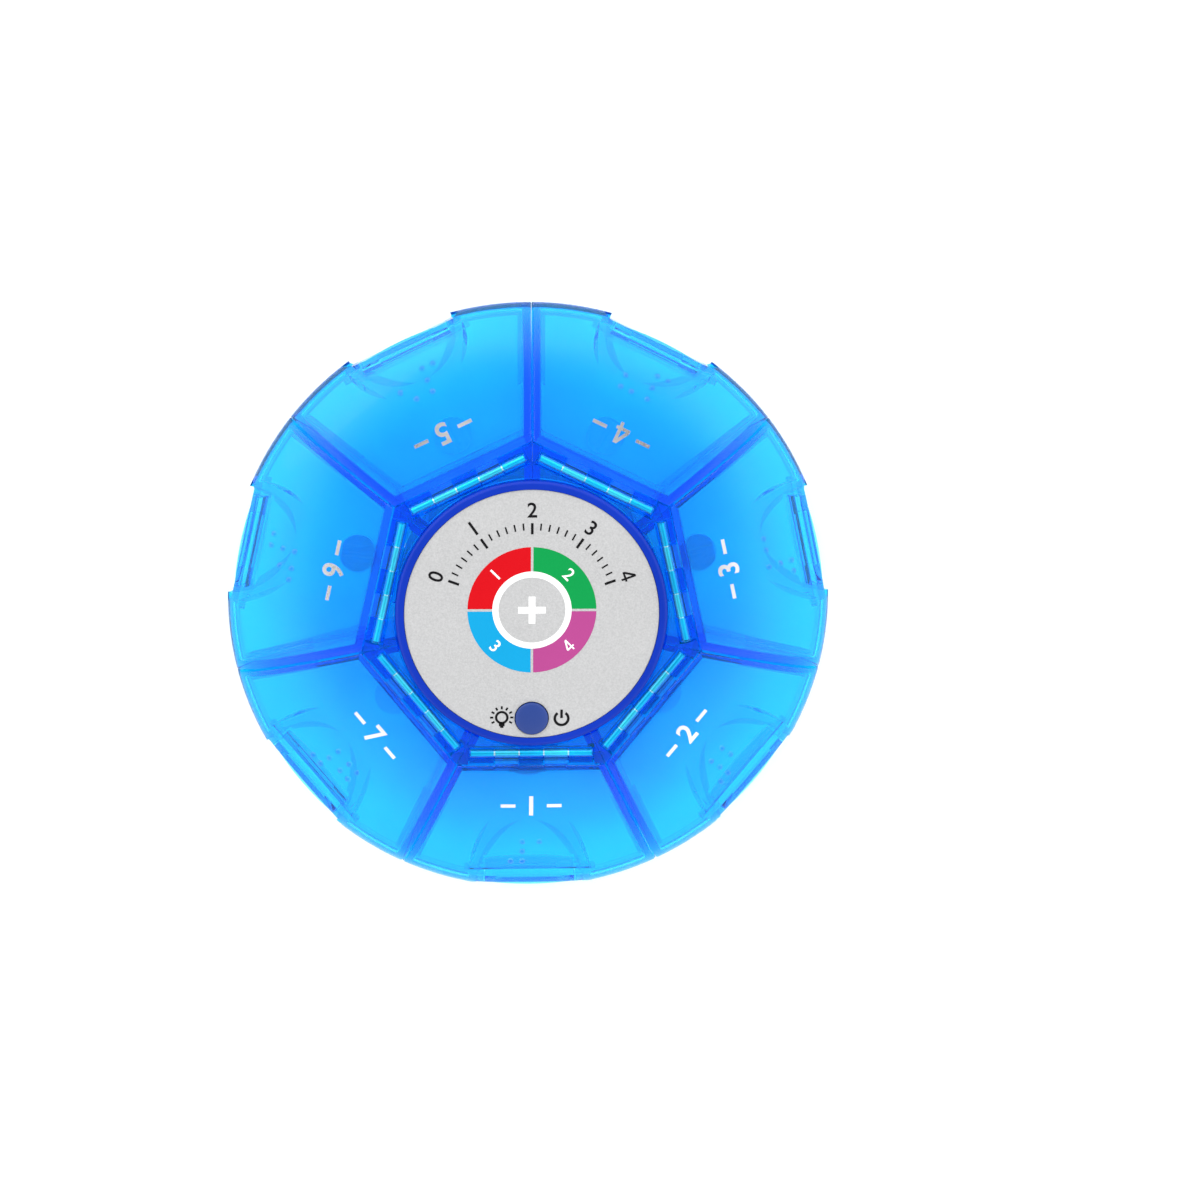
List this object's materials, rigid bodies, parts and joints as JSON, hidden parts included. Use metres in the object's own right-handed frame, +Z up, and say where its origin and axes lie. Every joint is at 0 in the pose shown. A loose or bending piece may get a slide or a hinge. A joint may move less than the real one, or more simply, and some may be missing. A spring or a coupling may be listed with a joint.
{
  "type": "electronic pill box",
  "caption": "Round weekly pill organiser: wedge pods with hinged, latched lids plug into a hub that holds a coin-cell reminder timer with a push button.",
  "frame": {"origin": "on the hub's axis, on the surface that the feet stand on", "axes": "+Z up, out of the timer's face; -Y from the hub's axis to the button"},
  "size_m": [0.13, 0.1289, 0.025],
  "materials": {
    "pod_blue": "translucent blue, moulded, glossy",
    "lid_blue": "translucent azure blue, moulded, glossy",
    "hinge_steel": "plain drawn steel pin",
    "foot_clear": "soft translucent light blue",
    "housing_blue": "deep royal blue, glossy",
    "label_grey": "pale grey, fine matt grain, printed",
    "button_navy": "dark blue, satin",
    "baffle_white": "white, matt",
    "lamp_clear": "clear epoxy over a white case",
    "board_green": "green solder mask",
    "switch_black": "black, matt",
    "chip_black": "black epoxy",
    "screw_steel": "zinc-plated steel",
    "holder_white": "white, matt",
    "cell_steel": "nickel-plated steel can",
    "contact_brass": "sprung brass strip",
    "cover_blue": "royal blue, glossy"
  },
  "bodies": {
    "hub": {"hub_housing": "housing_blue", "face_label": "label_grey", "light_baffle": "baffle_white", "status_lamps": "lamp_clear", "circuit_board": "board_green", "push_switch": "switch_black", "timer_chip": "chip_black", "buzzer": "switch_black", "board_screws": "screw_steel", "battery_holder": "holder_white", "coin_cell": "cell_steel", "positive_contact": "contact_brass", "negative_contact": "contact_brass", "back_cover": "cover_blue", "cover_screws": "screw_steel"},
    "button": {"timer_button": "button_navy", "switch_plunger": "switch_black"},
    "door": {"battery_door": "cover_blue"},
    "pod_1_body": {"pod_1": "pod_blue", "hinge_pin_1": "hinge_steel", "foot_1": "foot_clear"},
    "lid_1_body": {"lid_1": "lid_blue"},
    "pod_2_body": {"pod_2": "pod_blue", "hinge_pin_2": "hinge_steel", "foot_2": "foot_clear"},
    "lid_2_body": {"lid_2": "lid_blue"},
    "pod_3_body": {"pod_3": "pod_blue", "hinge_pin_3": "hinge_steel", "foot_3": "foot_clear"},
    "lid_3_body": {"lid_3": "lid_blue"},
    "pod_4_body": {"pod_4": "pod_blue", "hinge_pin_4": "hinge_steel", "foot_4": "foot_clear"},
    "lid_4_body": {"lid_4": "lid_blue"},
    "pod_5_body": {"pod_5": "pod_blue", "hinge_pin_5": "hinge_steel", "foot_5": "foot_clear"},
    "lid_5_body": {"lid_5": "lid_blue"},
    "pod_6_body": {"pod_6": "pod_blue", "hinge_pin_6": "hinge_steel", "foot_6": "foot_clear"},
    "lid_6_body": {"lid_6": "lid_blue"},
    "pod_7_body": {"pod_7": "pod_blue", "hinge_pin_7": "hinge_steel", "foot_7": "foot_clear"},
    "lid_7_body": {"lid_7": "lid_blue"}
  },
  "joints": [
    {"name": "button_press", "type": "slide", "parent": "hub", "child": "button", "axis": [0, 0, -1], "range_m": [0, 0.0005], "stiffness_N_per_m": 3000},
    {"name": "battery_door_turn", "type": "hinge", "parent": "hub", "child": "door", "pos_m": [0, 0, 0.001], "axis": [0, 0, 1], "range_deg": [0, 50]},
    {"name": "pod_1_pull", "type": "slide", "parent": "hub", "child": "pod_1_body", "axis": [0, -1, 0], "range_m": [0, 0.05]},
    {"name": "lid_1_hinge", "type": "hinge", "parent": "pod_1_body", "child": "lid_1_body", "pos_m": [0, -0.0309, 0.02239], "axis": [-1, 0, 0], "range_deg": [0, 105]},
    {"name": "pod_2_pull", "type": "slide", "parent": "hub", "child": "pod_2_body", "axis": [0.7818, -0.6235, 0], "range_m": [0, 0.05]},
    {"name": "lid_2_hinge", "type": "hinge", "parent": "pod_2_body", "child": "lid_2_body", "pos_m": [0.02416, -0.01927, 0.02239], "axis": [-0.6235, -0.7818, 0], "range_deg": [0, 105]},
    {"name": "pod_3_pull", "type": "slide", "parent": "hub", "child": "pod_3_body", "axis": [0.9749, 0.2225, 0], "range_m": [0, 0.05]},
    {"name": "lid_3_hinge", "type": "hinge", "parent": "pod_3_body", "child": "lid_3_body", "pos_m": [0.03013, 0.00688, 0.02239], "axis": [0.2225, -0.9749, 0], "range_deg": [0, 105]},
    {"name": "pod_4_pull", "type": "slide", "parent": "hub", "child": "pod_4_body", "axis": [0.4339, 0.901, 0], "range_m": [0, 0.05]},
    {"name": "lid_4_hinge", "type": "hinge", "parent": "pod_4_body", "child": "lid_4_body", "pos_m": [0.01341, 0.02784, 0.02239], "axis": [0.901, -0.4339, 0], "range_deg": [0, 105]},
    {"name": "pod_5_pull", "type": "slide", "parent": "hub", "child": "pod_5_body", "axis": [-0.4339, 0.901, 0], "range_m": [0, 0.05]},
    {"name": "lid_5_hinge", "type": "hinge", "parent": "pod_5_body", "child": "lid_5_body", "pos_m": [-0.01341, 0.02784, 0.02239], "axis": [0.901, 0.4339, 0], "range_deg": [0, 105]},
    {"name": "pod_6_pull", "type": "slide", "parent": "hub", "child": "pod_6_body", "axis": [-0.9749, 0.2225, 0], "range_m": [0, 0.05]},
    {"name": "lid_6_hinge", "type": "hinge", "parent": "pod_6_body", "child": "lid_6_body", "pos_m": [-0.03013, 0.00688, 0.02239], "axis": [0.2225, 0.9749, 0], "range_deg": [0, 105]},
    {"name": "pod_7_pull", "type": "slide", "parent": "hub", "child": "pod_7_body", "axis": [-0.7818, -0.6235, 0], "range_m": [0, 0.05]},
    {"name": "lid_7_hinge", "type": "hinge", "parent": "pod_7_body", "child": "lid_7_body", "pos_m": [-0.02416, -0.01927, 0.02239], "axis": [-0.6235, 0.7818, 0], "range_deg": [0, 105]}
  ]
}
